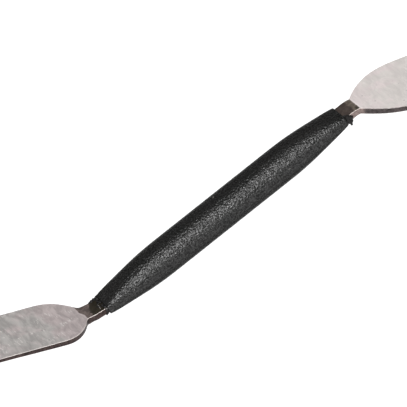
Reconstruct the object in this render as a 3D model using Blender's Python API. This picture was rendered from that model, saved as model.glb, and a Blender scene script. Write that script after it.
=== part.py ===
"""Double-ended palette knife: a square blade and a leaf blade on one moulded handle.

The knife is modelled along its handle: X runs along the handle towards the leaf blade, Z is square to the
bar's flat faces, and Y is across the blades. It is then tilted by REST_TILT about Y and set down, so that
the handle's belly and the leaf blade's point both touch Z = 0.
"""

import math

import bmesh
import bpy
from mathutils import Euler, Matrix, Vector

MM = 0.001
GAP = 0.3 * MM  # clearance between pieces that touch on the real knife

# Handle grip: a spindle, round in the middle and a flat bar's shape at its ends
HANDLE_LENGTH = 102.0 * MM
HANDLE_DIAMETER = 12.6 * MM
HANDLE_END_WIDTH = 8.95 * MM
HANDLE_END_HEIGHT = 4.2 * MM
HANDLE_TAPER = 26.45 * MM  # length over which each end thins down
TAPER_POWER = 2.14
END_SQUARENESS = 4.75  # superellipse exponent at the ends; 2 is a true round
SQUARENESS_POWER = 6.5
GRIP_WALL = 1.0 * MM
GRIP_SIDES = 24
END_CLEARANCE = 0.2 * MM  # between the grip's mouth and the steel neck

# Steel bar
BAR_WIDTH = 7.5 * MM
BAR_THICKNESS = 2.3 * MM
BLADE_THICKNESS = 2.2 * MM  # where each blade leaves its crank
EDGE_CHAMFER = 0.25 * MM
TANG_WIDTH = 5.4 * MM
TANG_STOP = 6.0 * MM  # distance of each tang's end from the middle of the handle
TANG_STEP_IN = 5.0 * MM  # how far inside the handle the neck narrows to the tang
TANG_STEP_LENGTH = 1.5 * MM

# Square blade, cranked upwards
SQUARE_BEND_AT = 3.7 * MM  # from the handle's end to the start of the crank
SQUARE_BEND_RADIUS = 2.6 * MM
SQUARE_BEND_ANGLE = math.radians(25.1)
SQUARE_SPRING_RADIUS = 263 * MM  # the gentle upward curve after the crank
SQUARE_SPRING_ANGLE = math.radians(3.4)
SQUARE_SHOULDER_AT = 3.3 * MM  # from the end of the crank to the shoulders
SQUARE_SHOULDER_LENGTH = 12.9 * MM
SQUARE_SHOULDER_POWER = 2.46
SQUARE_FILLET = 0.5 * MM  # softness of the hollow corner between the neck and each shoulder
SQUARE_WIDTH = 25.0 * MM
SQUARE_LENGTH = 62.0 * MM  # from the crank to the end of the blade
SQUARE_CORNER = 1.5 * MM
SQUARE_TIP_THICKNESS = 0.95 * MM

# Leaf blade, cranked downwards
LEAF_BEND_AT = 3.35 * MM
LEAF_BEND_RADIUS = 8.2 * MM
LEAF_BEND_ANGLE = math.radians(18.2)
LEAF_WIDTH = 29.5 * MM
LEAF_SWELL_LENGTH = 22.5 * MM  # from the crank to the widest place
LEAF_SWELL_POWER = 2.25
LEAF_LENGTH = 62.0 * MM
LEAF_POINT_CURVE = 2.2
LEAF_POINT_POWER = 0.7
LEAF_TIP_HALF_WIDTH = 0.9 * MM
LEAF_TIP_THICKNESS = 0.9 * MM

# Core and rivets inside the grip
CORE_HALF_LENGTH = 43.0 * MM
CORE_SIDES = 20
RIVET_PLACES = (13 * MM, 34 * MM)  # from the middle of the handle, on both sides
RIVET_RADIUS = 1.0 * MM
RIVET_HEAD_RADIUS = 1.7 * MM
RIVET_HEAD_THICKNESS = 0.6 * MM
RIVET_SIDES = 12

REST_TILT = math.radians(5.502)  # the leaf end is raised by this much where the knife lies


def clear_scene():
    for obj in list(bpy.data.objects):
        bpy.data.objects.remove(obj, do_unlink=True)


def make_material(name, colour, roughness, metallic):
    material = bpy.data.materials.new(name)
    material.use_nodes = True
    shader = material.node_tree.nodes["Principled BSDF"]
    shader.inputs["Base Color"].default_value = (*colour, 1.0)
    shader.inputs["Roughness"].default_value = roughness
    shader.inputs["Metallic"].default_value = metallic
    material.diffuse_color = (*colour, 1.0)
    return material


def add_object(name, mesh_builder, material):
    """A named object from a filled bmesh, with its faces pointing out and its round parts smooth."""
    bmesh.ops.recalc_face_normals(mesh_builder, faces=mesh_builder.faces[:])
    mesh = bpy.data.meshes.new(name)
    mesh_builder.to_mesh(mesh)
    mesh_builder.free()
    mesh.shade_smooth()
    mesh.set_sharp_from_angle(angle=math.radians(30))
    mesh.materials.append(material)
    obj = bpy.data.objects.new(name, mesh)
    bpy.context.scene.collection.objects.link(obj)
    return obj


def bridge_rings(builder, rings, close_ends=True):
    """Joins rings of points by bands of faces, and closes the first and last ring."""
    loops = [[builder.verts.new(point) for point in ring] for ring in rings]
    for first, second in zip(loops, loops[1:]):
        count = len(first)
        for i in range(count):
            j = (i + 1) % count
            builder.faces.new((first[i], first[j], second[j], second[i]))
    if close_ends:
        builder.faces.new(loops[0][::-1])
        builder.faces.new(loops[-1])
    return loops


# ---------------------------------------------------------------- steel


def walk_centre_line(segments, distance):
    """Place and slope on a chain of straight and curved segments (length, total turn) after a distance."""
    along, height, slope = 0.0, 0.0, 0.0
    for length, turn in segments:
        step = min(distance, length)
        swept = turn * step / length
        if turn:
            radius = length / turn
            along += radius * (math.sin(slope + swept) - math.sin(slope))
            height -= radius * (math.cos(slope + swept) - math.cos(slope))
        else:
            along += step * math.cos(slope)
            height += step * math.sin(slope)
        slope += swept
        distance -= step
        if distance <= 0:
            break
    return along, height, slope


def swell(share, narrow, wide, power):
    return narrow + (wide - narrow) * (1 - (1 - share) ** power)


def tang_and_neck_stations():
    """Distances from the tang's end and half widths, up to the handle's end."""
    step_start = HANDLE_LENGTH / 2 - TANG_STOP - TANG_STEP_IN
    return [
        (0.0, TANG_WIDTH / 2),
        (step_start - TANG_STEP_LENGTH, TANG_WIDTH / 2),
        (step_start, BAR_WIDTH / 2),
    ]


def shoulder_half_width(past_shoulder):
    """Half width near the square blade's shoulders, with a fillet where they leave the neck."""
    neck = BAR_WIDTH / 2
    share = min(past_shoulder / SQUARE_SHOULDER_LENGTH, 1.0)
    shoulder = swell(share, neck, SQUARE_WIDTH / 2, SQUARE_SHOULDER_POWER)
    fillet = SQUARE_FILLET * math.log1p(math.exp(-abs(shoulder - neck) / SQUARE_FILLET))
    return max(neck, shoulder) + fillet * (1 - max(share, 0.0)) ** 2


def square_blade_stations(crank):
    shoulder = crank + SQUARE_SHOULDER_AT
    stations = [(crank, BAR_WIDTH / 2)]
    for before in (2.0, 1.4, 0.9, 0.5, 0.2):
        place = -before * MM
        stations.append((shoulder + place, shoulder_half_width(place)))
    shoulder_steps = 14
    for i in range(shoulder_steps + 1):
        place = SQUARE_SHOULDER_LENGTH * (i / shoulder_steps) ** 1.3
        stations.append((shoulder + place, shoulder_half_width(place)))
    corner_steps = 4
    for i in range(corner_steps + 1):
        angle = math.pi / 2 * i / corner_steps
        place = crank + SQUARE_LENGTH - SQUARE_CORNER * (1 - math.sin(angle))
        stations.append((place, SQUARE_WIDTH / 2 - SQUARE_CORNER * (1 - math.cos(angle))))
    return stations


def leaf_blade_stations(crank):
    stations = [(crank, BAR_WIDTH / 2)]
    swell_steps = 14
    for i in range(1, swell_steps + 1):
        share = i / swell_steps
        place = crank + LEAF_SWELL_LENGTH * share
        stations.append((place, swell(share, BAR_WIDTH / 2, LEAF_WIDTH / 2, LEAF_SWELL_POWER)))
    point_steps = 20
    point_length = LEAF_LENGTH - LEAF_SWELL_LENGTH
    for i in range(1, point_steps + 1):
        share = math.sin(math.pi / 2 * i / point_steps)
        half_width = LEAF_WIDTH / 2 * (1 - share**LEAF_POINT_CURVE) ** LEAF_POINT_POWER
        place = crank + LEAF_SWELL_LENGTH + point_length * share
        stations.append((place, max(half_width, LEAF_TIP_HALF_WIDTH)))
    return stations


def bar_section(half_width, half_thickness):
    """A rectangle with chamfered corners, as (across, up) pairs."""
    cut = EDGE_CHAMFER
    inner_width, inner_height = half_width - cut, half_thickness - cut
    quarter = [(half_width, inner_height), (inner_width, half_thickness)]
    upper = quarter + [(-x, z) for x, z in reversed(quarter)]
    return upper + [(x, -z) for x, z in reversed(upper)]


def forge_blade(name, segments, stations, thickness_at, direction, material):
    """Sweeps the bar's section through the stations. direction is +1 towards the leaf end, -1 the other."""
    start = TANG_STOP
    rings = []
    for distance, half_width in stations:
        along, height, slope = walk_centre_line(segments, distance)
        centre = Vector((start + along, 0, height))
        up = Vector((-math.sin(slope), 0, math.cos(slope)))
        ring = []
        for across, lift in bar_section(half_width, thickness_at(distance) / 2):
            point = centre + up * lift
            ring.append((direction * point.x, across, point.z))
        rings.append(ring)
    builder = bmesh.new()
    bridge_rings(builder, rings)
    return add_object(name, builder, material)


def with_bend_stations(stations, segments, spacing):
    """Adds stations along the curved segments, so that a bend is round."""
    places = [place for place, _ in stations]
    result = list(stations)
    reached = 0.0
    for length, turn in segments:
        if turn:
            steps = max(2, math.ceil(length / spacing), math.ceil(abs(turn) / math.radians(6)))
            for i in range(steps + 1):
                place = reached + length * i / steps
                if place < places[-1] and min(abs(place - other) for other in places) > 0.15 * MM:
                    result.append((place, half_width_at(stations, place)))
        reached += length
    return sorted(result)


def half_width_at(stations, place):
    for (first, first_width), (second, second_width) in zip(stations, stations[1:]):
        if first <= place <= second:
            share = (place - first) / (second - first)
            return first_width + (second_width - first_width) * share
    return stations[-1][1]


def taper_thickness(distance, neck_end, blade_start, tip, tip_thickness):
    """The bar's full thickness on the neck, less past it, and least at the tip."""
    thinned = min(max((distance - neck_end) / (blade_start - neck_end), 0.0), 1.0)
    share = min(max((distance - blade_start) / (tip - blade_start), 0.0), 1.0)
    thickness = BAR_THICKNESS + (BLADE_THICKNESS - BAR_THICKNESS) * thinned
    return thickness + (tip_thickness - BLADE_THICKNESS) * share


def make_square_blade(material):
    straight = HANDLE_LENGTH / 2 - TANG_STOP + SQUARE_BEND_AT
    bend_length = SQUARE_BEND_RADIUS * SQUARE_BEND_ANGLE
    spring_length = SQUARE_SPRING_RADIUS * SQUARE_SPRING_ANGLE
    segments = [
        (straight, 0.0),
        (bend_length, SQUARE_BEND_ANGLE),
        (spring_length, SQUARE_SPRING_ANGLE),
        (SQUARE_LENGTH, 0.0),
    ]
    crank = straight + bend_length / 2
    stations = tang_and_neck_stations() + square_blade_stations(crank + bend_length / 2)
    stations = with_bend_stations(stations, segments, 3 * MM)
    shoulder = crank + SQUARE_SHOULDER_AT
    end = crank + SQUARE_LENGTH

    def thickness_at(distance):
        return taper_thickness(distance, crank, shoulder, end, SQUARE_TIP_THICKNESS)

    return forge_blade("square_blade", segments, stations, thickness_at, -1, material)


def make_leaf_blade(material):
    straight = HANDLE_LENGTH / 2 - TANG_STOP + LEAF_BEND_AT
    bend_length = LEAF_BEND_RADIUS * LEAF_BEND_ANGLE
    segments = [(straight, 0.0), (bend_length, -LEAF_BEND_ANGLE), (LEAF_LENGTH, 0.0)]
    junction = straight + bend_length
    stations = tang_and_neck_stations() + leaf_blade_stations(junction)
    stations = with_bend_stations(stations, segments, 3 * MM)

    def thickness_at(distance):
        return taper_thickness(distance, straight, junction, junction + LEAF_LENGTH, LEAF_TIP_THICKNESS)

    return forge_blade("leaf_blade", segments, stations, thickness_at, 1, material)


# ---------------------------------------------------------------- handle


def handle_section_size(place):
    """Width, height and squareness of the grip's outside at a place along X."""
    share = min((HANDLE_LENGTH / 2 - abs(place)) / HANDLE_TAPER, 1.0)
    fill = 1 - (1 - share) ** TAPER_POWER
    width = HANDLE_END_WIDTH + (HANDLE_DIAMETER - HANDLE_END_WIDTH) * fill
    height = HANDLE_END_HEIGHT + (HANDLE_DIAMETER - HANDLE_END_HEIGHT) * fill
    squareness = 2 + (END_SQUARENESS - 2) * (1 - share) ** SQUARENESS_POWER
    return width, height, squareness


def superellipse_ring(place, width, height, squareness, sides):
    """A ring of points across X. Its lowest side is level, so that the handle can lie on it."""
    ring = []
    for i in range(sides):
        angle = 2 * math.pi * (i + 0.5) / sides
        cosine, sine = math.cos(angle), math.sin(angle)
        across = width / 2 * math.copysign(abs(cosine) ** (2 / squareness), cosine)
        up = height / 2 * math.copysign(abs(sine) ** (2 / squareness), sine)
        ring.append((place, across, up))
    return ring


def places_along(half_length, taper_steps):
    """Places along the handle, close together where it tapers and only a few where it is straight."""
    straight_half = HANDLE_LENGTH / 2 - HANDLE_TAPER
    taper = half_length - straight_half
    right = [straight_half + taper * (i / taper_steps) for i in range(taper_steps + 1)]
    return [-place for place in reversed(right)] + right


def grip_rings(half_length, taper_steps, inset, sides):
    rings = []
    for place in places_along(half_length, taper_steps):
        width, height, squareness = handle_section_size(place)
        rings.append(superellipse_ring(place, width - 2 * inset, height - 2 * inset, squareness, sides))
    return rings


def make_grip_sleeve(material):
    """The textured outer skin. Inside it is hollow for the core, with a slot at each end for the neck."""
    outer = grip_rings(HANDLE_LENGTH / 2, 14, 0.0, GRIP_SIDES)
    cavity_half = CORE_HALF_LENGTH + GAP
    cavity = grip_rings(cavity_half, 8, GRIP_WALL, GRIP_SIDES)
    mouth_width = BAR_WIDTH + 2 * END_CLEARANCE
    mouth_height = BAR_THICKNESS + 2 * END_CLEARANCE

    def mouth_ring(place):
        return superellipse_ring(place, mouth_width, mouth_height, END_SQUARENESS * 2, GRIP_SIDES)

    inner = [mouth_ring(-HANDLE_LENGTH / 2), mouth_ring(-cavity_half), *cavity]
    inner += [mouth_ring(cavity_half), mouth_ring(HANDLE_LENGTH / 2)]
    builder = bmesh.new()
    outer_loops = bridge_rings(builder, outer, close_ends=False)
    inner_loops = bridge_rings(builder, inner, close_ends=False)
    for outer_loop, inner_loop in ((outer_loops[0], inner_loops[0]), (outer_loops[-1], inner_loops[-1])):
        for i in range(GRIP_SIDES):
            j = (i + 1) % GRIP_SIDES
            builder.faces.new((outer_loop[i], outer_loop[j], inner_loop[j], inner_loop[i]))
    return add_object("grip_sleeve", builder, material)


def make_cutter(name, size, location, material):
    builder = bmesh.new()
    bmesh.ops.create_cube(builder, size=1.0)
    bmesh.ops.scale(builder, vec=size, verts=builder.verts[:])
    return hide_cutter(add_object(name, builder, material), location)


def make_round_cutter(name, radius, depth, location, material):
    builder = bmesh.new()
    add_cylinder(builder, radius, depth, Vector((0, 0, 0)), RIVET_SIDES)
    return hide_cutter(add_object(name, builder, material), location)


def add_cylinder(builder, radius, depth, centre, sides):
    bmesh.ops.create_cone(
        builder,
        cap_ends=True,
        segments=sides,
        radius1=radius,
        radius2=radius,
        depth=depth,
        matrix=Matrix.Translation(centre),
    )


def hide_cutter(cutter, location):
    cutter.location = location
    cutter.hide_render = True
    cutter.display_type = "WIRE"
    return cutter


def cut_away(target, cutter):
    modifier = target.modifiers.new(cutter.name, "BOOLEAN")
    modifier.operation = "DIFFERENCE"
    modifier.solver = "EXACT"
    modifier.object = cutter


def rivet_places():
    return [side * place for side in (-1, 1) for place in RIVET_PLACES]


def rivet_head_top(place):
    """The head's outer face lies a little under the lowest part of the core's round surface around it."""
    edge = abs(place) + RIVET_HEAD_RADIUS + GAP
    width, height, _ = handle_section_size(edge)
    half_width, half_height = width / 2 - GRIP_WALL - GAP, height / 2 - GRIP_WALL - GAP
    return half_height * math.sqrt(1 - (RIVET_HEAD_RADIUS / half_width) ** 2)


def make_core_half(name, side, material):
    """Half of the moulded core: side +1 is above the tangs, -1 is below them."""
    builder = bmesh.new()
    bridge_rings(builder, grip_rings(CORE_HALF_LENGTH, 8, GRIP_WALL + GAP, CORE_SIDES))
    core = add_object(name, builder, material)
    block = HANDLE_DIAMETER
    long_block = HANDLE_LENGTH
    half_size = (long_block, 2 * block, block)
    other_half = make_cutter(f"{name}_split", half_size, (0, 0, side * (GAP / 2 - block / 2)), material)
    cut_away(core, other_half)
    slot_size = (long_block, TANG_WIDTH + 2 * GAP, BAR_THICKNESS + 2 * GAP)
    cut_away(core, make_cutter(f"{name}_slot", slot_size, (0, 0, 0), material))
    for number, place in enumerate(rivet_places()):
        hole = make_round_cutter(
            f"{name}_hole_{number}", RIVET_RADIUS + GAP, 2 * block, (place, 0, 0), material
        )
        cut_away(core, hole)
        seat_depth = block
        seat_floor = rivet_head_top(place) - RIVET_HEAD_THICKNESS - GAP
        seat_location = (place, 0, side * (seat_floor + seat_depth / 2))
        seat = make_round_cutter(
            f"{name}_seat_{number}", RIVET_HEAD_RADIUS + GAP, seat_depth, seat_location, material
        )
        cut_away(core, seat)
    return core


def drill_tangs(blade, side, material):
    for number, place in enumerate(RIVET_PLACES):
        location = (side * place, 0, 0)
        hole = make_round_cutter(
            f"{blade.name}_hole_{number}", RIVET_RADIUS + GAP, 4 * BAR_THICKNESS, location, material
        )
        cut_away(blade, hole)


def make_rivet(number, place, material):
    """A rivet through the core and a tang, with a flat head at each end."""
    top = rivet_head_top(place)
    neck = top - RIVET_HEAD_THICKNESS
    outline = [
        (RIVET_HEAD_RADIUS, -top),
        (RIVET_HEAD_RADIUS, -neck),
        (RIVET_RADIUS, -neck),
        (RIVET_RADIUS, neck),
        (RIVET_HEAD_RADIUS, neck),
        (RIVET_HEAD_RADIUS, top),
    ]
    rings = []
    for radius, height in outline:
        ring = []
        for i in range(RIVET_SIDES):
            angle = 2 * math.pi * i / RIVET_SIDES
            ring.append((place + radius * math.cos(angle), radius * math.sin(angle), height))
        rings.append(ring)
    builder = bmesh.new()
    bridge_rings(builder, rings)
    return add_object(f"tang_rivet_{number}", builder, material)


# ---------------------------------------------------------------- assembly


def set_down(pieces):
    """Hangs every piece on one empty, tilts it to rest, and puts the box's bottom centre at the origin."""
    handle_axis = bpy.data.objects.new("handle_axis", None)
    bpy.context.scene.collection.objects.link(handle_axis)
    turn = Euler((0, -REST_TILT, 0)).to_matrix()
    visible = [piece for piece in pieces if piece.display_type != "WIRE"]
    points = [turn @ vertex.co for piece in visible for vertex in piece.data.vertices]
    low_x, high_x = min(p.x for p in points), max(p.x for p in points)
    low_z = min(p.z for p in points)
    handle_axis.rotation_euler = (0, -REST_TILT, 0)
    handle_axis.location = (-(low_x + high_x) / 2, 0, -low_z)
    for piece in pieces:
        piece.parent = handle_axis


def main():
    clear_scene()
    steel = make_material("ground_steel", (0.56, 0.52, 0.50), 0.38, 1.0)
    grip_black = make_material("textured_grip", (0.016, 0.017, 0.017), 0.55, 0.0)
    core_grey = make_material("moulded_core", (0.10, 0.10, 0.11), 0.6, 0.0)
    rivet_steel = make_material("rivet_steel", (0.45, 0.44, 0.43), 0.4, 1.0)

    square_blade = make_square_blade(steel)
    leaf_blade = make_leaf_blade(steel.copy())
    drill_tangs(square_blade, -1, steel)
    drill_tangs(leaf_blade, 1, steel)
    make_core_half("handle_core_upper", 1, core_grey)
    make_core_half("handle_core_lower", -1, core_grey.copy())
    for number, place in enumerate(rivet_places(), start=1):
        make_rivet(number, place, rivet_steel)
    make_grip_sleeve(grip_black)
    set_down([obj for obj in bpy.data.objects if obj.type == "MESH"])


main()
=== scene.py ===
import math

import bmesh
import bpy
import numpy as np
from mathutils import Matrix, Vector, noise


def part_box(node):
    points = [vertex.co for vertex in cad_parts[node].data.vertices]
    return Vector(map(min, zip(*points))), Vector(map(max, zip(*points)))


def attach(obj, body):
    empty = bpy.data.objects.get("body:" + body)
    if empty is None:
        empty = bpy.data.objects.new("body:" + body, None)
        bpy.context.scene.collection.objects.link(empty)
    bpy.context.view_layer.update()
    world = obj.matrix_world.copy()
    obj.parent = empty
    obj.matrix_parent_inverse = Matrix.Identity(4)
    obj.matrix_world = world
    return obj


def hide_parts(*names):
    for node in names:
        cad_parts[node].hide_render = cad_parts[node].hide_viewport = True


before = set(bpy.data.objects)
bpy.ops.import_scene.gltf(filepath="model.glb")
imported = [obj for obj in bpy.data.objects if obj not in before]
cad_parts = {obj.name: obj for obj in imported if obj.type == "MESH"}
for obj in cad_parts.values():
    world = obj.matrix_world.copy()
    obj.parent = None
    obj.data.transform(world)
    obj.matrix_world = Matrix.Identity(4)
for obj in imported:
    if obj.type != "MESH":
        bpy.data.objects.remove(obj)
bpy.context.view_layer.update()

# Looks of the double-ended palette knife. Shapes are made in the handle's own frame, X along the handle
# towards the leaf blade and Z square to the bar's flat faces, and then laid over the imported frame.

MM = 0.001

# Driving dimensions of the design
HANDLE_LENGTH = 102.0 * MM
HANDLE_DIAMETER = 12.6 * MM
HANDLE_END_WIDTH = 8.95 * MM
HANDLE_END_HEIGHT = 4.2 * MM
HANDLE_TAPER = 26.45 * MM
TAPER_POWER = 2.14
END_SQUARENESS = 4.75
SQUARENESS_POWER = 6.5
GRIP_WALL = 1.0 * MM
GRIP_RIM_RADIUS = 0.22 * MM
CAVITY_HALF_LENGTH = 43.3 * MM
MOUTH_CLEARANCE = 0.12 * MM

BAR_WIDTH = 7.5 * MM
BAR_THICKNESS = 2.3 * MM
BLADE_THICKNESS = 2.2 * MM
EDGE_RADIUS = 0.16 * MM
TANG_WIDTH = 5.4 * MM
TANG_STOP = 6.0 * MM
TANG_STEP_IN = 5.0 * MM
TANG_STEP_LENGTH = 1.5 * MM
RIVET_HOLE_RADIUS = 1.3 * MM
RIVET_PLACES = (13 * MM, 34 * MM)

SQUARE_BEND_AT = 3.7 * MM
SQUARE_BEND_RADIUS = 2.6 * MM
SQUARE_BEND_ANGLE = math.radians(25.1)
SQUARE_SPRING_RADIUS = 263 * MM
SQUARE_SPRING_ANGLE = math.radians(3.4)
SQUARE_SHOULDER_AT = 3.3 * MM
SQUARE_SHOULDER_LENGTH = 12.9 * MM
SQUARE_SHOULDER_POWER = 2.46
SQUARE_FILLET = 0.5 * MM
SQUARE_WIDTH = 25.0 * MM
SQUARE_LENGTH = 62.0 * MM
SQUARE_CORNER = 1.5 * MM
SQUARE_TIP_THICKNESS = 0.95 * MM

# How the square blade was forged: a heel hangs under it past the crank, and the crank's curve is eased
# upwards. The places run along the blade from the crank
HEEL_DEPTH = 0.3 * MM
HEEL_AT = 3.2 * MM
HEEL_SPREAD = 1.1 * MM
CRANK_EASE = 0.42 * MM
CRANK_EASE_AT = 0.0 * MM
CRANK_EASE_SPREAD = 2.3 * MM

LEAF_BEND_AT = 3.35 * MM
LEAF_BEND_RADIUS = 8.2 * MM
LEAF_BEND_ANGLE = math.radians(18.2)
LEAF_WIDTH = 29.5 * MM
LEAF_SWELL_LENGTH = 22.5 * MM
LEAF_SWELL_POWER = 2.25
LEAF_LENGTH = 62.0 * MM
LEAF_POINT_CURVE = 2.2
LEAF_POINT_POWER = 0.7
LEAF_TIP_HALF_WIDTH = 0.9 * MM
LEAF_TIP_THICKNESS = 0.9 * MM

# Unevenness of the steel: how deep, and the sizes of its long and short waves
STEEL_UNEVENNESS = 0.02 * MM
STEEL_LONG_WAVE = 6 * MM
STEEL_SHORT_WAVE = 1.7 * MM

# Fineness of the visible meshes
GRIP_COLUMNS = 184
GRIP_ROWS = 480
HOLLOW_ROWS = 15
FACE_COLUMNS = 30
CORNER_STEPS = 4
STATION_SPACING = 0.8 * MM
CLOSEST_STATIONS = 0.08 * MM
FINE_ZONE = (-4 * MM, 12 * MM)  # along the blade from the crank
TIP_ZONE = 4 * MM
TIP_STATIONS = 12
DRILL_SEGMENTS = 32
WELD_DISTANCE = 0.004 * MM
GRIP_SHARP_ANGLE = math.radians(50)
BLADE_SHARP_ANGLE = math.radians(40)

# Grain of the grip, the line where its mould closed, and the mark of the mould's gate
PEBBLE_SIZE = 0.8 * MM
PEBBLE_HEIGHT = 0.07 * MM
PEBBLE_STEEPNESS = 2.2
PEBBLE_FADE_LENGTH = 2.5 * MM
PARTING_LINE_UP = 1.1 * MM
PARTING_LINE_HEIGHT = 0.02 * MM
PARTING_LINE_WIDTH = 0.3 * MM
PARTING_BURR_AT = 27.0 * MM
PARTING_BURR_LENGTH = 6.0 * MM
PARTING_BURR_SPACING = 1.3 * MM
PARTING_BURR_SHARE = 5.0
GATE_MARK = (-0.3 * MM, 0.6 * MM)
GATE_MARK_RADIUS = 0.4 * MM
GATE_MARK_SHARE = 6.0

# Flash: plastic that squeezed out of the grip's mouths, as lobes in millimetres: how far out from the
# handle's end, how far across, how far up, and the radius. The burrs are pale bits of it: a painted glint
# where a ridge of flash and the mouth's rim catch light
SQUARE_END_FLASH = (
    (0.2, 3.3, 1.5, 0.7),
    (1.3, 3.4, 1.4, 0.65),
    (2.3, 3.5, 1.3, 0.6),
    (3.2, 3.5, 1.25, 0.5),
    (4.0, 3.4, 1.2, 0.4),
    (0.3, 2.4, 1.5, 0.7),
    (0.9, 1.3, 1.4, 0.55),
    (0.4, 0.2, 1.5, 0.6),
    (1.4, 0.3, 1.35, 0.4),
    (2.0, -0.5, 1.3, 0.35),
    (1.6, -1.3, 1.3, 0.4),
    (0.5, -2.0, 1.5, 0.6),
    (0.3, -3.4, 1.5, 0.6),
    (0.4, -3.8, 0.4, 0.65),
    (0.6, -3.8, -0.7, 0.5),
    (1.2, -3.7, -1.2, 0.35),
)
LEAF_END_FLASH = (
    (0.2, -3.2, 1.5, 0.6),
    (0.8, -3.9, 1.2, 0.8),
    (1.4, -4.0, 0.6, 0.8),
    (1.9, -4.0, 0.0, 0.8),
    (0.6, -4.1, 0.2, 0.9),
    (0.7, -4.1, -0.9, 0.7),
    (1.5, -4.1, -1.0, 0.6),
    (1.2, -4.2, -1.6, 0.4),
    (0.9, -4.3, -2.1, 0.45),
)
SQUARE_END_GLINT_BURRS = (
    (1.5, -0.2, 1.4, 0.24),
    (1.55, -0.7, 1.4, 0.28),
    (1.6, -1.2, 1.4, 0.3),
    (1.7, -1.7, 1.35, 0.28),
    (1.75, -2.2, 1.3, 0.22),
    (0.35, -3.75, 1.05, 0.36),
    (-0.2, -4.0, 1.0, 0.34),
    (-0.7, -4.15, 0.9, 0.28),
)
FLASH_VOXEL = 0.14 * MM
FLASH_LUMP_SIZE = 0.5 * MM
FLASH_LUMPINESS = 0.35
FLASH_SMOOTHING = 3

# Sizes and depths of the patterns on the plastic
GRIP_CLOUD_SIZE = 9 * MM
GRIP_FINE_SIZE = 0.35 * MM
GRIP_FINE_DEPTH = 0.10 * MM
GRIP_SPECKLE_SIZE = 0.55 * MM
GRIP_DIMPLE_SIZE = 0.7 * MM
GRIP_DIMPLE_DEPTH = 0.16 * MM
FLASH_CLOUD_SIZE = 0.8 * MM
FLASH_CLOUD_DEPTH = 0.05 * MM
CORE_CLOUD_SIZE = 4 * MM
CORE_CLOUD_DEPTH = 0.05 * MM

# Sizes and depths of the patterns on the steel. Turns are in degrees
HUE_SIZE = 7 * MM
PINK_END_SIZE = 5 * MM
PINK_END_WANDER = 16 * MM
PINK_END_BLEND = 3 * MM
PATCH_SIZE = 3.2 * MM
PATCH_STRETCH = (1.0, 2.2, 1.0)
PATCH_TURN = -6
STREAK_SIZE = 0.55 * MM
STREAK_STRETCH = (1.0, 7.0, 1.0)
STREAK_TURN = -3
STREAK_DEPTH = 0.02 * MM
STREAK_SHARE = 0.22
CLUSTER_SIZE = 4.2 * MM
FLECK_SIZE = 0.45 * MM
FLECK_STRETCH = (1.0, 5.0, 1.0)
FLECK_TURN = 3
FLECK_DEPTH = 0.012 * MM
FLECK_BRIGHTNESS = 1.7
PIT_SPACING = 4.6 * MM
PIT_BRIGHTNESS = 0.4
SCALE_CLOUD_SIZE = 1.7 * MM
SCALE_CLOUD_DEPTH = 0.05 * MM
ZONE_RAGGEDNESS = 2.0 * MM
RUST_SIZE = 1.2 * MM
NICK_SIZE = 0.7 * MM
MIDDLE_BLEND = 1.0 * MM  # how far from the middle line the near side turns into the far side
RIVET_GRAIN_SIZE = 0.5 * MM
RIVET_GRAIN_DEPTH = 0.02 * MM

# Colours, in linear light. steel_material says what the zones of the blades mean
GRIP_BLACK = (0.0030, 0.0032, 0.0030)
GRIP_PALER_BLACK = (0.0050, 0.0047, 0.0046)
# Lighter grain tops: partly wear, partly a painted sheen
GRIP_WORN_SHEEN = (0.011, 0.0107, 0.0104)
GRIP_WHITENED = (0.10, 0.095, 0.09)
FLASH_BLACK = (0.004, 0.004, 0.004)
FLASH_PALER_BLACK = (0.012, 0.0105, 0.0105)
# Painted glint: the burrs' pale greys stand for light caught by a flash ridge and the rim of the square
# end's mouth
BURR_GLINT_GREY = (0.08, 0.075, 0.07)
BURR_GLINT_PALER_GREY = (0.16, 0.15, 0.145)
SCORCHED = (0.022, 0.019, 0.012)
NICK_DIRT = (0.05, 0.04, 0.038)
CORE_GREY = (0.07, 0.07, 0.075)
CORE_PALER_GREY = (0.13, 0.13, 0.135)
RIVET_GREY = (0.38, 0.37, 0.36)
RIVET_PALER_GREY = (0.52, 0.51, 0.50)
SQUARE_FACE_PINKER = (0.450, 0.390, 0.388)
SQUARE_FACE_GREENER = (0.408, 0.390, 0.378)
SQUARE_FACE_CONTRAST = 0.2
# The leaf's face colours are lighter than the square blade's: painted light for the brighter light its
# face catches, on the same ground steel
LEAF_FACE_PINKER = (0.742, 0.668, 0.660)
LEAF_FACE_GREENER = (0.705, 0.665, 0.64)
LEAF_FACE_CONTRAST = 0.075
SQUARE_NECK = {
    "scale": (0.017, 0.014, 0.009),
    "tint": (0.094, 0.074, 0.068),
    "side": (0.029, 0.018, 0.0165),
    # rim: a painted highlight on the neck's rounded edges, partly wear
    "rim": (0.70, 0.63, 0.60),
    "side_to": 0.6 * MM,
    "pink_until": 17.0 * MM,
    "scorch": 0.0,
    "tint_from": 0.9 * MM,
    "tint_slant": 0.42,
    "ground_from": 3.7 * MM,
    "ground_bulge": 1.1 * MM,
}
SQUARE_RIM = {
    # colour: a painted highlight on the square blade's rounded edges, partly wear; near and far set how
    # strongly it shows on the -Y and +Y sides
    "colour": (0.72, 0.66, 0.63),
    "flank": (0.0265, 0.018, 0.0168),
    "near": 0.85,
    "far": 0.25,
}
LEAF_NECK = {
    "scale": (0.043, 0.0325, 0.028),
    "tint": (0.094, 0.076, 0.061),
    "side": (0.14, 0.107, 0.10),
    # rim: a painted highlight on the neck's rounded edges, partly wear
    "rim": (0.60, 0.53, 0.50),
    "side_to": 1.3 * MM,
    "pink_until": 6.0 * MM,
    "scorch": 0.8,
    "tint_from": -1.8 * MM,
    "tint_slant": 0.0,
    "ground_from": 0.1 * MM,
    "ground_bulge": 0.0,
}
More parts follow.
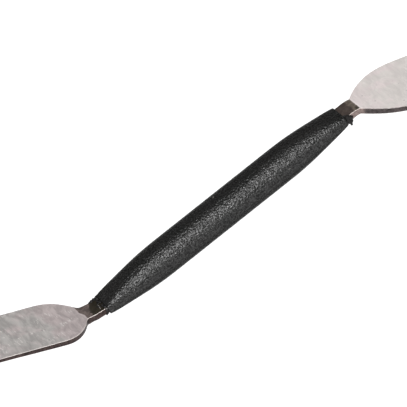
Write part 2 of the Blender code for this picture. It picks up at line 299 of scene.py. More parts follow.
LEAF_RIM = {
    # colour: the leaf blade's own rims are dark; near and far also set how strongly the leaf neck's
    # painted rim highlight shows on the -Y and +Y sides
    "colour": (0.055, 0.042, 0.039),
    "flank": (0.038, 0.031, 0.031),
    "near": 0.95,
    "far": 0.55,
}

# View: the camera's direction in the handle's frame, and what the frame covers
VIEW_AZIMUTH = math.radians(-9.6)
VIEW_ELEVATION = math.radians(38.55)
VIEW_ROLL = math.radians(-32.36)
VIEW_WIDTH = 135.7 * MM
VIEW_RIGHT_OFFSET = -6.40 * MM
VIEW_UP_OFFSET = 2.17 * MM
LENS = 300.0
SENSOR = 36.0
CLIP_NEAR = 0.05
CLIP_FAR = 20.0

# Stage
FLOOR_HALF_WIDTH = 3.0
FLOOR_DEPTH = 0.05 * MM
FLOOR_GLOW = 1.0
KEY_STRENGTH = 5.0
KEY_ANGLE = math.radians(24)
KEY_LIFT = 0.06  # how far the key light's direction leans up from the camera's
COVE_HEIGHTS = (0.2, 0.6)
COVE_BRIGHTNESS = (0.85, 0.25)


# ---------------------------------------------------------------- the handle's frame


def centre_of(node):
    low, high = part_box(node)
    return (low + high) / 2


def handle_frame():
    """The handle's frame, from the rivets: they stand in a row on its axis."""
    square_end, leaf_end = centre_of("tang_rivet_2"), centre_of("tang_rivet_4")
    along = (leaf_end - square_end).normalized()
    across = Vector((0, 1, 0))
    up = along.cross(across)
    turn = Matrix((along, across, up)).transposed()
    return Matrix.Translation((square_end + leaf_end) / 2) @ turn.to_4x4()


HANDLE = handle_frame()


# ---------------------------------------------------------------- mesh helpers


def mesh_object(name, points, faces):
    mesh = bpy.data.meshes.new(name)
    mesh.from_pydata([tuple(p) for p in points], [], faces)
    builder = bmesh.new()
    builder.from_mesh(mesh)
    bmesh.ops.recalc_face_normals(builder, faces=builder.faces[:])
    builder.to_mesh(mesh)
    builder.free()
    mesh.transform(HANDLE)
    obj = bpy.data.objects.new(name, mesh)
    bpy.context.scene.collection.objects.link(obj)
    return obj


def band_faces(start, rows, columns):
    """Faces of a tube of rows of points, each row a closed ring."""
    faces = []
    for row in range(rows - 1):
        for column in range(columns):
            following = (column + 1) % columns
            a = start + row * columns
            b = a + columns
            faces.append((a + column, a + following, b + following, b + column))
    return faces


def set_attribute(mesh, name, values):
    attribute = mesh.attributes.new(name, "FLOAT", "POINT")
    attribute.data.foreach_set("value", np.asarray(values, np.float32))


def finish_piece(obj, node, material):
    obj.data.materials.append(material)
    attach(obj, "root")
    if node:
        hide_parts(node)


def smooth_step(value):
    value = np.clip(value, 0.0, 1.0)
    return value * value * (3 - 2 * value)


# ---------------------------------------------------------------- grip


def handle_section_size(place):
    share = min((HANDLE_LENGTH / 2 - abs(place)) / HANDLE_TAPER, 1.0)
    fill = 1 - (1 - share) ** TAPER_POWER
    width = HANDLE_END_WIDTH + (HANDLE_DIAMETER - HANDLE_END_WIDTH) * fill
    height = HANDLE_END_HEIGHT + (HANDLE_DIAMETER - HANDLE_END_HEIGHT) * fill
    squareness = 2 + (END_SQUARENESS - 2) * (1 - share) ** SQUARENESS_POWER
    return width, height, squareness


def superellipse(width, height, squareness, columns):
    """Points round a superellipse at even steps along its outline, as (across, up) rows."""
    fine = np.linspace(0, 2 * np.pi, 16 * columns + 1)
    cosine, sine = np.cos(fine), np.sin(fine)
    across = width / 2 * np.sign(cosine) * np.abs(cosine) ** (2 / squareness)
    up = height / 2 * np.sign(sine) * np.abs(sine) ** (2 / squareness)
    walked = np.concatenate([[0], np.cumsum(np.hypot(np.diff(across), np.diff(up)))])
    wanted = np.arange(columns) / columns * walked[-1]
    return np.stack([np.interp(wanted, walked, across), np.interp(wanted, walked, up)], axis=1)


def outward(section):
    """Unit vectors out of a closed outline that runs anticlockwise."""
    run = np.roll(section, -1, axis=0) - np.roll(section, 1, axis=0)
    normal = np.stack([run[:, 1], -run[:, 0]], axis=1)
    return normal / np.linalg.norm(normal, axis=1, keepdims=True)


def pebble_height(point):
    """Rounded grains with creases between them, from 0 in a crease to 1 on a grain."""
    distances, _ = noise.voronoi(Vector(point) / PEBBLE_SIZE)
    crease = min((distances[1] - distances[0]) * PEBBLE_STEEPNESS, 1.0)
    unevenness = 0.5 + 0.5 * noise.noise(Vector(point) / (3 * PEBBLE_SIZE))
    return crease * (0.45 + 0.55 * unevenness)


def mould_mark(place, across, up):
    """How far the mould's marks stand up: a faint line with a few burrs on each side, and the gate's nub.
    In multiples of the parting line's height."""
    line = math.exp(-(((up - PARTING_LINE_UP) / (PARTING_LINE_WIDTH / 2)) ** 2))
    burr_zone = math.exp(-(((place - PARTING_BURR_AT) / PARTING_BURR_LENGTH) ** 2))
    along_line = Vector((place / PARTING_BURR_SPACING, math.copysign(2.0, across), 0.0))
    broken = max(noise.noise(along_line), 0.0)
    burrs = PARTING_BURR_SHARE * burr_zone * min(3.0 * broken, 1.0)
    from_gate = math.hypot(place - GATE_MARK[0], across - GATE_MARK[1]) / GATE_MARK_RADIUS
    gate = GATE_MARK_SHARE * math.exp(-(from_gate**4)) if up > 0 else 0.0
    return line * (0.5 + burrs) + gate


def make_grip(material):
    """The textured skin: a grained outside, a rim at each end, and a plain hollow for the core."""
    half = HANDLE_LENGTH / 2
    rim = GRIP_RIM_RADIUS
    places = np.linspace(-half + rim, half - rim, GRIP_ROWS)
    rows = []
    heights, marks = [], []
    for place in places:
        width, height, squareness = handle_section_size(place)
        section = superellipse(width, height, squareness, GRIP_COLUMNS)
        normals = outward(section)
        full_grain = smooth_step((half - abs(place)) / PEBBLE_FADE_LENGTH)
        row = []
        for (across, up), normal in zip(section, normals):
            grain = pebble_height((place, across, up))
            mark = mould_mark(place, across, up)
            lift = (grain - 0.5) * PEBBLE_HEIGHT * (0.35 + 0.65 * full_grain)
            lift += mark * PARTING_LINE_HEIGHT
            row.append((place, across + normal[0] * lift, up + normal[1] * lift))
            heights.append(grain)
            marks.append(mark)
        rows.append(row)

    def plain_row(place, width, height, squareness):
        heights.extend([0.5] * GRIP_COLUMNS)
        marks.extend([0.0] * GRIP_COLUMNS)
        return [(place, a, u) for a, u in superellipse(width, height, squareness, GRIP_COLUMNS)]

    def rounded_rim(side):
        found = []
        for angle in np.radians((30, 60, 90)):
            inset = rim * (1 - math.cos(angle))
            place = side * (half - rim + rim * math.sin(angle))
            found.append((place, HANDLE_END_WIDTH - 2 * inset, HANDLE_END_HEIGHT - 2 * inset))
        return found

    mouth = (BAR_WIDTH + 2 * MOUTH_CLEARANCE, BAR_THICKNESS + 2 * MOUTH_CLEARANCE, 2 * END_SQUARENESS)
    leaf_side = [plain_row(*size, END_SQUARENESS) for size in rounded_rim(1)]
    leaf_side.append(plain_row(half, *mouth))
    leaf_side.append(plain_row(CAVITY_HALF_LENGTH, *mouth))
    hollow = []
    for place in np.linspace(CAVITY_HALF_LENGTH, -CAVITY_HALF_LENGTH, HOLLOW_ROWS):
        width, height, squareness = handle_section_size(place)
        hollow.append(plain_row(place, width - 2 * GRIP_WALL, height - 2 * GRIP_WALL, squareness))
    square_side = [plain_row(-CAVITY_HALF_LENGTH, *mouth), plain_row(-half, *mouth)]
    square_side += [plain_row(*size, END_SQUARENESS) for size in reversed(rounded_rim(-1))]
    rows += leaf_side + hollow + square_side

    points = [point for row in rows for point in row]
    faces = band_faces(0, len(rows), GRIP_COLUMNS)
    last = (len(rows) - 1) * GRIP_COLUMNS
    for column in range(GRIP_COLUMNS):
        following = (column + 1) % GRIP_COLUMNS
        faces.append((last + column, last + following, following, column))
    grip = mesh_object("grip_skin", points, faces)
    grip.data.shade_smooth()
    grip.data.set_sharp_from_angle(angle=GRIP_SHARP_ANGLE)
    set_attribute(grip.data, "grain", heights)
    set_attribute(grip.data, "mark", marks)
    finish_piece(grip, "grip_sleeve", material)


def make_flash(name, direction, lobes, material):
    """Plastic squeezed out round a neck: lobes melted into one lumpy body by a fine remesh."""
    builder = bmesh.new()
    for out, across, up, radius in lobes:
        centre = Vector((direction * (HANDLE_LENGTH / 2 + out * MM), across * MM, up * MM))
        made = bmesh.ops.create_icosphere(builder, subdivisions=3, radius=radius * MM)
        for vertex in made["verts"]:
            uneven = noise.noise((vertex.co + centre) / FLASH_LUMP_SIZE)
            vertex.co = centre + vertex.co * (1.0 + FLASH_LUMPINESS * uneven)
    mesh = bpy.data.meshes.new(name)
    builder.to_mesh(mesh)
    builder.free()
    mesh.transform(HANDLE)
    flash = bpy.data.objects.new(name, mesh)
    bpy.context.scene.collection.objects.link(flash)
    remesh = flash.modifiers.new("melt", "REMESH")
    remesh.mode = "VOXEL"
    remesh.voxel_size = FLASH_VOXEL
    smooth = flash.modifiers.new("soften", "SMOOTH")
    smooth.iterations = FLASH_SMOOTHING
    apply_modifiers(flash)
    flash.data.shade_smooth()
    finish_piece(flash, None, material)


# ---------------------------------------------------------------- blades


def walk_centre_line(segments, distance):
    along, height, slope = 0.0, 0.0, 0.0
    for length, turn in segments:
        step = min(distance, length)
        swept = turn * step / length
        if turn:
            radius = length / turn
            along += radius * (math.sin(slope + swept) - math.sin(slope))
            height -= radius * (math.cos(slope + swept) - math.cos(slope))
        else:
            along += step * math.cos(slope)
            height += step * math.sin(slope)
        slope += swept
        distance -= step
        if distance <= 0:
            break
    return along, height, slope


def swell(share, narrow, wide, power):
    return narrow + (wide - narrow) * (1 - (1 - share) ** power)


def tang_half_width(distance):
    step_end = HANDLE_LENGTH / 2 - TANG_STOP - TANG_STEP_IN
    share = (distance - step_end + TANG_STEP_LENGTH) / TANG_STEP_LENGTH
    return TANG_WIDTH / 2 + (BAR_WIDTH - TANG_WIDTH) / 2 * min(max(share, 0.0), 1.0)


def square_half_width(past_crank):
    share = min((past_crank - SQUARE_SHOULDER_AT) / SQUARE_SHOULDER_LENGTH, 1.0)
    neck = BAR_WIDTH / 2
    shoulder = swell(share, neck, SQUARE_WIDTH / 2, SQUARE_SHOULDER_POWER)
    fillet = SQUARE_FILLET * math.log1p(math.exp(-abs(shoulder - neck) / SQUARE_FILLET))
    half_width = max(neck, shoulder) + fillet * (1 - max(share, 0.0)) ** 2
    into_corner = past_crank - (SQUARE_LENGTH - SQUARE_CORNER)
    if into_corner > 0:
        half_width -= SQUARE_CORNER - math.sqrt(max(SQUARE_CORNER**2 - into_corner**2, 0.0))
    return half_width


def leaf_half_width(past_crank):
    if past_crank < LEAF_SWELL_LENGTH:
        share = max(past_crank, 0.0) / LEAF_SWELL_LENGTH
        return swell(share, BAR_WIDTH / 2, LEAF_WIDTH / 2, LEAF_SWELL_POWER)
    share = min((past_crank - LEAF_SWELL_LENGTH) / (LEAF_LENGTH - LEAF_SWELL_LENGTH), 1.0)
    half_width = LEAF_WIDTH / 2 * (1 - share**LEAF_POINT_CURVE) ** LEAF_POINT_POWER
    return max(half_width, LEAF_TIP_HALF_WIDTH)


def bar_outline(half_width, half_thickness, radius):
    """A rectangle with rounded corners, as (across, up, rim share, flank share) rows.
    rim is 1 in the middle of a rounded edge of the upper face, flank is 1 on the narrow sides."""
    radius = min(radius, 0.9 * half_thickness)
    inner_width, inner_height = half_width - radius, half_thickness - radius
    by_rim = min(2 * EDGE_RADIUS, inner_width / 4)
    between = np.linspace(by_rim - inner_width, inner_width - by_rim, FACE_COLUMNS - 2)
    face = [-inner_width, *between, inner_width]
    half_turn = [(a, half_thickness, 0.0, 0.0) for a in face]
    for step in range(1, CORNER_STEPS + 1):
        angle = math.pi / 2 * step / CORNER_STEPS
        across = inner_width + radius * math.sin(angle)
        up = inner_height + radius * math.cos(angle)
        half_turn.append((across, up, math.sin(2 * angle), float(step == CORNER_STEPS)))
    lower = []
    for across, up, rim, flank in reversed(half_turn[FACE_COLUMNS:]):
        lower.append((across, -up, 0.5 * rim, flank))
    side = half_turn[FACE_COLUMNS:] + lower
    bottom = [(a, -half_thickness, 0.0, 0.0) for a in reversed(face)]
    other_side = [(-a, u, r, f) for a, u, r, f in reversed(side)]
    return half_turn[:FACE_COLUMNS] + side + bottom + other_side


def blade_mesh(name, segments, crank, end, half_width_at, thickness_at, direction, forging):
    """Sweeps the bar along its centre line. Stations lie closest near the crank and at the far end.
    forging is how far the heel under the crank hangs down, and how far the crank is eased upwards."""
    heel_depth, ease = forging
    distances = list(np.arange(0.0, end - STATION_SPACING / 2, STATION_SPACING))
    fine_from, fine_to = crank + FINE_ZONE[0], crank + FINE_ZONE[1]
    distances += list(np.arange(fine_from, fine_to, STATION_SPACING / 3))
    distances += [end - step for step in np.geomspace(EDGE_RADIUS, TIP_ZONE, TIP_STATIONS)]
    distances = sorted(set(round(d, 7) for d in distances if 0 <= d < end))
    kept = [distances[0]]
    for distance in distances[1:]:
        if distance - kept[-1] > CLOSEST_STATIONS:
            kept.append(distance)

    stations = [(d, half_width_at(d), thickness_at(d) / 2, 0.0) for d in kept]
    last_width, last_thickness = half_width_at(end), thickness_at(end) / 2
    for angle in np.radians((20, 45, 70, 90)):
        inset = EDGE_RADIUS * (1 - math.cos(angle))
        place = end - EDGE_RADIUS * (1 - math.sin(angle))
        stations.append((place, last_width - inset, last_thickness - inset, angle))

    points, measures = [], []
    for distance, half_width, half_thickness, round_end in stations:
        along, height, slope = walk_centre_line(segments, distance)
        past_crank = distance - crank
        heel = heel_depth * math.exp(-(((past_crank - HEEL_AT) / HEEL_SPREAD) ** 2))
        height += ease * math.exp(-(((past_crank - CRANK_EASE_AT) / CRANK_EASE_SPREAD) ** 2))
        for across, up, rim, flank in bar_outline(half_width, half_thickness, EDGE_RADIUS):
            up -= heel * max(-up / half_thickness, 0.0)
            x = TANG_STOP + along - math.sin(slope) * up
            z = height + math.cos(slope) * up
            point = Vector((direction * x, across, z))
            unevenness = noise.noise(point / STEEL_LONG_WAVE)
            unevenness += 0.4 * noise.noise(point / STEEL_SHORT_WAVE)
            wobble = unevenness * STEEL_UNEVENNESS * (1.0 + 1.5 * max(rim, flank))
            point.z += wobble * math.copysign(1.0, up)
            point.y += wobble * flank * math.copysign(1.0, across)
            points.append(point)
            on_rim = max(rim, math.sin(2 * round_end))
            on_end = max(flank, math.sin(round_end) ** 8)
            measures.append((past_crank, across, on_rim, on_end))
    columns = len(points) // len(stations)
    faces = band_faces(0, len(stations), columns)
    for first in (0, len(points) - columns):
        centre = len(points)
        points.append(sum(points[first : first + columns], Vector()) / columns)
        measures.append((measures[first][0], 0.0, 0.0, 1.0))
        for column in range(columns):
            faces.append((first + column, first + (column + 1) % columns, centre))
    blade = mesh_object(name, points, faces)
    for index, attribute in enumerate(("past_crank", "across", "rim", "flank")):
        set_attribute(blade.data, attribute, [row[index] for row in measures])
    drill_tang(blade, direction)
    blade.data.shade_smooth()
    blade.data.set_sharp_from_angle(angle=BLADE_SHARP_ANGLE)
    return blade


def drill_tang(blade, direction):
    """Cuts the two rivet holes and keeps the result as the blade's own mesh."""
    for place in RIVET_PLACES:
        builder = bmesh.new()
        bmesh.ops.create_cone(
            builder,
            cap_ends=True,
            segments=DRILL_SEGMENTS,
            radius1=RIVET_HOLE_RADIUS,
            radius2=RIVET_HOLE_RADIUS,
            depth=4 * BAR_THICKNESS,
            matrix=HANDLE @ Matrix.Translation((direction * place, 0, 0)),
        )
        cutter_mesh = bpy.data.meshes.new("drill")
        builder.to_mesh(cutter_mesh)
        builder.free()
        cutter = bpy.data.objects.new("drill", cutter_mesh)
        bpy.context.scene.collection.objects.link(cutter)
        modifier = blade.modifiers.new("drill", "BOOLEAN")
        modifier.operation = "DIFFERENCE"
        modifier.solver = "EXACT"
        modifier.object = cutter
        apply_modifiers(blade)
        bpy.data.objects.remove(cutter)
    weld(blade.data)


def weld(mesh):
    """Joins points that lie on each other where a hole's wall meets an edge of the bar's mesh."""
    builder = bmesh.new()
    builder.from_mesh(mesh)
    bmesh.ops.remove_doubles(builder, verts=builder.verts[:], dist=WELD_DISTANCE)
    bmesh.ops.dissolve_degenerate(builder, dist=WELD_DISTANCE, edges=builder.edges[:])
    builder.to_mesh(mesh)
    builder.free()


def apply_modifiers(obj):
    bpy.context.view_layer.update()
    evaluated = obj.evaluated_get(bpy.context.evaluated_depsgraph_get())
    result = bpy.data.meshes.new_from_object(evaluated)
    obj.modifiers.clear()
    obj.data = result


def taper_thickness(distance, neck_end, blade_start, tip, tip_thickness):
    thinned = min(max((distance - neck_end) / (blade_start - neck_end), 0.0), 1.0)
    share = min(max((distance - blade_start) / (tip - blade_start), 0.0), 1.0)
    thickness = BAR_THICKNESS + (BLADE_THICKNESS - BAR_THICKNESS) * thinned
    return thickness + (tip_thickness - BLADE_THICKNESS) * share


def make_square_blade(material):
    straight = HANDLE_LENGTH / 2 - TANG_STOP + SQUARE_BEND_AT
    bend = SQUARE_BEND_RADIUS * SQUARE_BEND_ANGLE
    crank = straight + bend / 2
    segments = [
        (straight, 0.0),
        (bend, SQUARE_BEND_ANGLE),
        (SQUARE_SPRING_RADIUS * SQUARE_SPRING_ANGLE, SQUARE_SPRING_ANGLE),
        (SQUARE_LENGTH, 0.0),
    ]
    outline_start = crank + bend / 2

    def half_width_at(distance):
        if distance < outline_start:
            return tang_half_width(distance)
        return square_half_width(distance - outline_start)

    def thickness_at(distance):
        shoulder, tip = crank + SQUARE_SHOULDER_AT, crank + SQUARE_LENGTH
        return taper_thickness(distance, crank, shoulder, tip, SQUARE_TIP_THICKNESS)

    end = outline_start + SQUARE_LENGTH
    forging = (HEEL_DEPTH, CRANK_EASE)
    blade = blade_mesh(
        "square_blade_steel", segments, crank, end, half_width_at, thickness_at, -1, forging
    )
    finish_piece(blade, "square_blade", material)


def make_leaf_blade(material):
    straight = HANDLE_LENGTH / 2 - TANG_STOP + LEAF_BEND_AT
    bend = LEAF_BEND_RADIUS * LEAF_BEND_ANGLE
    crank = straight + bend
    segments = [(straight, 0.0), (bend, -LEAF_BEND_ANGLE), (LEAF_LENGTH, 0.0)]

    def half_width_at(distance):
        if distance < crank:
            return tang_half_width(distance)
        return leaf_half_width(distance - crank)

    def thickness_at(distance):
        return taper_thickness(distance, straight, crank, crank + LEAF_LENGTH, LEAF_TIP_THICKNESS)

    end = crank + LEAF_LENGTH
    forging = (0.0, 0.0)
    blade = blade_mesh(
        "leaf_blade_steel", segments, crank, end, half_width_at, thickness_at, 1, forging
    )
    finish_piece(blade, "leaf_blade", material)


# ---------------------------------------------------------------- materials


class Nodes:
    """A short way to lay out a material's node tree."""

    def __init__(self, name):
        self.material = bpy.data.materials.new(name)
        self.material.use_nodes = True
        self.tree = self.material.node_tree
        self.shader = self.tree.nodes["Principled BSDF"]

    def add(self, kind, **settings):
        node = self.tree.nodes.new(kind)
        for key, value in settings.items():
            setattr(node, key, value)
        return node

    def link(self, source, target):
        self.tree.links.new(source, target)

    def put(self, socket, value):
        if isinstance(value, bpy.types.NodeSocket):
            self.link(value, socket)
        else:
            socket.default_value = value

    def math(self, operation, first, second):
        node = self.add("ShaderNodeMath", operation=operation)
        self.put(node.inputs[0], first)
        self.put(node.inputs[1], second)
        return node.outputs[0]

    def remap(self, value, low, high, to_low=0.0, to_high=1.0):
        node = self.add("ShaderNodeMapRange", interpolation_type="SMOOTHSTEP")
        self.put(node.inputs["Value"], value)
        for socket, number in zip(node.inputs[1:5], (low, high, to_low, to_high)):
            self.put(socket, number)
        return node.outputs["Result"]

    def mix(self, share, first, second):
        node = self.add("ShaderNodeMix", data_type="RGBA")
        self.put(node.inputs["Factor"], share)
        for socket, value in ((node.inputs["A"], first), (node.inputs["B"], second)):
            self.put(socket, value if isinstance(value, bpy.types.NodeSocket) else (*value, 1.0))
        return node.outputs["Result"]

    def attribute(self, name):
        return self.add("ShaderNodeAttribute", attribute_name=name).outputs["Fac"]

    def position(self, stretch=(1, 1, 1), turn=0.0):
        """The place on the object, with patterns stretched and turned about Z."""
        coordinates = self.add("ShaderNodeTexCoord")
        mapping = self.add("ShaderNodeMapping", vector_type="TEXTURE")
        self.link(coordinates.outputs["Object"], mapping.inputs["Vector"])
        mapping.inputs["Rotation"].default_value = (0, 0, math.radians(turn))
        mapping.inputs["Scale"].default_value = stretch
        return mapping.outputs["Vector"]

    def noise(self, vector, size, detail=3.0, roughness=0.55, distortion=0.0):
        node = self.add("ShaderNodeTexNoise")
        self.link(vector, node.inputs["Vector"])
        node.inputs["Scale"].default_value = 1 / size
        node.inputs["Detail"].default_value = detail
        node.inputs["Roughness"].default_value = roughness
        node.inputs["Distortion"].default_value = distortion
        return node.outputs["Fac"]

    def cells(self, vector, size):
        node = self.add("ShaderNodeTexVoronoi")
        self.link(vector, node.inputs["Vector"])
        node.inputs["Scale"].default_value = 1 / size
        return node.outputs["Distance"]

    def bump(self, height, depth, normal=None):
        node = self.add("ShaderNodeBump")
        node.inputs["Strength"].default_value = 1.0
        node.inputs["Distance"].default_value = depth
        self.link(height, node.inputs["Height"])
        if normal:
            self.link(normal, node.inputs["Normal"])
        return node.outputs["Normal"]

    def shade(self, **values):
        for name, value in values.items():
            self.put(self.shader.inputs[name.replace("_", " ")], value)
        return self.material


def grip_material():
    """Black plastic with a pebbled grain: the grains differ in gloss, so the highlight is speckled."""
    n = Nodes("pebbled_black_plastic")
    place = n.position()
    grain = n.attribute("grain")
    cloudy = n.noise(place, GRIP_CLOUD_SIZE)
    base = n.mix(n.remap(cloudy, 0.35, 0.7), GRIP_BLACK, GRIP_PALER_BLACK)
    # Grain tops are lighter: partly wear, partly a painted sheen that speckles the grain
    worn_sheen = n.mix(n.math("MULTIPLY", n.remap(grain, 0.6, 1.0), 0.35), base, GRIP_WORN_SHEEN)
    worn_sheen = n.mix(n.remap(n.attribute("mark"), 1.5, 4.0, 0.0, 0.8), worn_sheen, GRIP_WHITENED)
    fine = n.noise(place, GRIP_FINE_SIZE, detail=3.0, roughness=0.6)
    speckle = n.noise(place, GRIP_SPECKLE_SIZE, detail=2.0, roughness=0.7)
    facing = n.add("ShaderNodeLayerWeight")
    facing.inputs["Blend"].default_value = 0.5
    seen_flat = n.remap(facing.outputs["Facing"], 0.15, 0.55, 1.0, 0.12)
    gloss = n.math("MULTIPLY", n.remap(speckle, 0.34, 0.68, 0.12, 0.66), seen_flat)
    roughness = n.math("ADD", n.math("MULTIPLY", fine, 0.20), 0.29)
    normal = n.bump(n.cells(place, GRIP_DIMPLE_SIZE), -GRIP_DIMPLE_DEPTH)
    normal = n.bump(fine, GRIP_FINE_DEPTH, normal)
    return n.shade(Base_Color=worn_sheen, Roughness=roughness, Normal=normal, Specular_IOR_Level=gloss)


def flash_material(name, dark, light):
    n = Nodes(name)
    place = n.position()
    cloud = n.noise(place, FLASH_CLOUD_SIZE, detail=3.0)
    base = n.mix(cloud, dark, light)
    roughness = n.remap(cloud, 0.3, 0.7, 0.45, 0.7)
    normal = n.bump(cloud, FLASH_CLOUD_DEPTH)
    return n.shade(Base_Color=base, Roughness=roughness, Normal=normal, Specular_IOR_Level=0.15)


def scaled(colour, share):
    return tuple(min(channel * share, 1.0) for channel in colour)


def ground_face(n, place, pinker, greener, contrast, pink_until):
    """Ground steel: marks of grinding across the blade, cloudy patches of two hues, flecks and pits.
    The blade is pinker from the neck up to pink_until and mixed past it."""
    patch_marks = n.position(stretch=PATCH_STRETCH, turn=PATCH_TURN)
    hue = n.noise(place, HUE_SIZE, detail=3.0)
    uneven = n.math("SUBTRACT", n.noise(place, PINK_END_SIZE), 0.5)
    wandering = n.math("MULTIPLY", uneven, PINK_END_WANDER)
    zone = n.math("ADD", n.attribute("past_crank"), wandering)
    zone = n.remap(zone, pink_until - PINK_END_BLEND, pink_until + PINK_END_BLEND, 0.12, 1.0)
    patches = n.noise(patch_marks, PATCH_SIZE, detail=5.0, roughness=0.62, distortion=0.8)
    streak_marks = n.position(stretch=STREAK_STRETCH, turn=STREAK_TURN)
    streaks = n.noise(streak_marks, STREAK_SIZE, detail=3.0, roughness=0.6)
    face = n.mix(n.math("MULTIPLY", n.remap(hue, 0.30, 0.52), zone), pinker, greener)
    patch_tone = n.math("MULTIPLY", patches, 1 - STREAK_SHARE)
    tone = n.math("ADD", patch_tone, n.math("MULTIPLY", streaks, STREAK_SHARE))
    tone = n.remap(tone, 0.36, 0.64, 1 - contrast, 1 + contrast)
    scale = n.add("ShaderNodeVectorMath", operation="SCALE")
    n.link(face, scale.inputs[0])
    n.link(tone, scale.inputs["Scale"])
    face = scale.outputs[0]
    clusters = n.remap(n.noise(place, CLUSTER_SIZE, detail=2.0), 0.53, 0.61)
    fleck_marks = n.position(stretch=FLECK_STRETCH, turn=FLECK_TURN)
    flecks = n.remap(n.noise(fleck_marks, FLECK_SIZE, detail=2.0), 0.54, 0.62)
    fleck_strength = min(18 * contrast**2, 0.85)
    fleck_share = n.math("MULTIPLY", n.math("MULTIPLY", flecks, clusters), fleck_strength)
    face = n.mix(fleck_share, face, scaled(greener, FLECK_BRIGHTNESS))
    pits = n.remap(n.cells(place, PIT_SPACING), 0.045, 0.075, 1.0, 0.0)
    face = n.mix(n.math("MULTIPLY", pits, 0.55), face, scaled(greener, PIT_BRIGHTNESS))
    return face, streaks, flecks


def steel_material(name, pinker, greener, contrast, neck, rim):
    """Ground steel on the blade, dark scale and a heat tint on the neck, dark flanks, rims with a painted
    highlight and wear.
    neck holds the scale, tint, side and rim colours, where each zone starts or ends past the crank, how
    the tint's start slants, how the ground steel's edge bulges, and how dark the -Y corner is scorched.
    rim holds the colours of the blade's edges (on the square blade a painted highlight with wear) and of
    its flanks, and how strong the edges are on the -Y side (near) and on the +Y side (far)."""
    n = Nodes(name)
    place = n.position()
    past_crank = n.attribute("past_crank")
    across = n.attribute("across")
    on_rim = n.attribute("rim")
    flank = n.attribute("flank")
    face, streaks, flecks = ground_face(n, place, pinker, greener, contrast, neck["pink_until"])

    cloud = n.noise(place, SCALE_CLOUD_SIZE, detail=4.0, distortion=0.6)
    ragged = n.math("MULTIPLY", n.math("SUBTRACT", cloud, 0.5), ZONE_RAGGEDNESS)
    mottled = n.remap(cloud, 0.3, 0.7)
    scale = n.mix(mottled, scaled(neck["scale"], 0.75), scaled(neck["scale"], 1.25))
    tint = n.mix(mottled, scaled(neck["tint"], 0.65), scaled(neck["tint"], 1.3))
    slant = n.math("MULTIPLY", n.math("MAXIMUM", across, -1.0 * MM), neck["tint_slant"])
    slanted = n.math("ADD", past_crank, slant)
    tint_from, ground_from = neck["tint_from"], neck["ground_from"]
    tinted = n.remap(n.math("ADD", slanted, ragged), tint_from - 0.4 * MM, tint_from + 0.4 * MM)
    upper = n.mix(tinted, scale, tint)
    bulge = n.remap(across, -1.5 * MM, 1.0 * MM, 0.0, neck["ground_bulge"])
    from_edge = n.math("SUBTRACT", past_crank, bulge)
    from_edge = n.math("ADD", from_edge, n.math("MULTIPLY", ragged, 0.35))
    ground = n.remap(from_edge, ground_from - 0.15 * MM, ground_from + 0.2 * MM)
    burnt = n.remap(from_edge, ground_from + 0.2 * MM, ground_from + 0.9 * MM, 0.35, 0.0)
    scorch = n.remap(from_edge, ground_from - 1.7 * MM, ground_from - 0.8 * MM)
    scorch_corner = n.remap(across, -2.6 * MM, -1.2 * MM, neck["scorch"], 0.0)
    scorch = n.math("MULTIPLY", scorch, scorch_corner)
    upper = n.mix(scorch, upper, SCORCHED)
    upper = n.mix(ground, upper, n.mix(burnt, face, scaled(pinker, 1.25)))

    rust = n.noise(place, RUST_SIZE, detail=4.0)
    rusted = n.remap(rust, 0.3, 0.7)
    side = n.mix(rusted, scaled(rim["flank"], 0.5), scaled(rim["flank"], 1.5))
    side_to = neck["side_to"]
    on_neck = n.remap(past_crank, side_to - 1.0 * MM, side_to + 0.3 * MM, 1.0, 0.0)
    neck_side = n.mix(rusted, scaled(neck["side"], 0.6), scaled(neck["side"], 1.3))
    side = n.mix(on_neck, side, neck_side)
    surface = n.mix(n.remap(flank, 0.2, 0.8), upper, side)
    # The rims get a painted highlight, partly wear, from the necks' rim colours and the square blade's,
    # stronger on the -Y side than on the +Y side; the leaf blade's own rim colour is dark.
    rim_colour = n.mix(on_neck, rim["colour"], neck["rim"])
    rim_strength = n.remap(across, -MIDDLE_BLEND, MIDDLE_BLEND, rim["near"], rim["far"])
    rim_strength = n.math("MULTIPLY", rim_strength, n.remap(rust, 0.3, 0.6, 0.6, 1.0))
    rim_share = n.math("MULTIPLY", n.remap(on_rim, 0.2, 0.8), rim_strength)
    surface = n.mix(rim_share, surface, rim_colour)
    nick = n.remap(n.noise(place, NICK_SIZE, detail=2.0), 0.60, 0.66, 0.0, 0.6)
    far_rim = n.math("MULTIPLY", on_rim, n.remap(across, -MIDDLE_BLEND, MIDDLE_BLEND))
    nick = n.math("MULTIPLY", nick, far_rim)
    surface = n.mix(nick, surface, NICK_DIRT)

    bare = n.math("MULTIPLY", ground, n.math("SUBTRACT", 1.0, flank))
    metallic = n.remap(bare, 0.0, 1.0, 0.0, 0.5)
    specular = n.remap(bare, 0.0, 1.0, 0.12, 0.5)
    rough = n.math("ADD", n.math("MULTIPLY", streaks, 0.22), 0.36)
    normal = n.bump(flecks, FLECK_DEPTH)
    normal = n.bump(streaks, STREAK_DEPTH, normal)
    normal = n.bump(cloud, SCALE_CLOUD_DEPTH, normal)
    return n.shade(
        Base_Color=surface,
        Metallic=metallic,
        Roughness=rough,
        Normal=normal,
        Specular_IOR_Level=specular,
    )


def hidden_plastic():
    n = Nodes("moulded_core_plastic")
    place = n.position()
    cloud = n.noise(place, CORE_CLOUD_SIZE)
    colour = n.mix(cloud, CORE_GREY, CORE_PALER_GREY)
    return n.shade(Base_Color=colour, Roughness=0.6, Normal=n.bump(cloud, CORE_CLOUD_DEPTH))


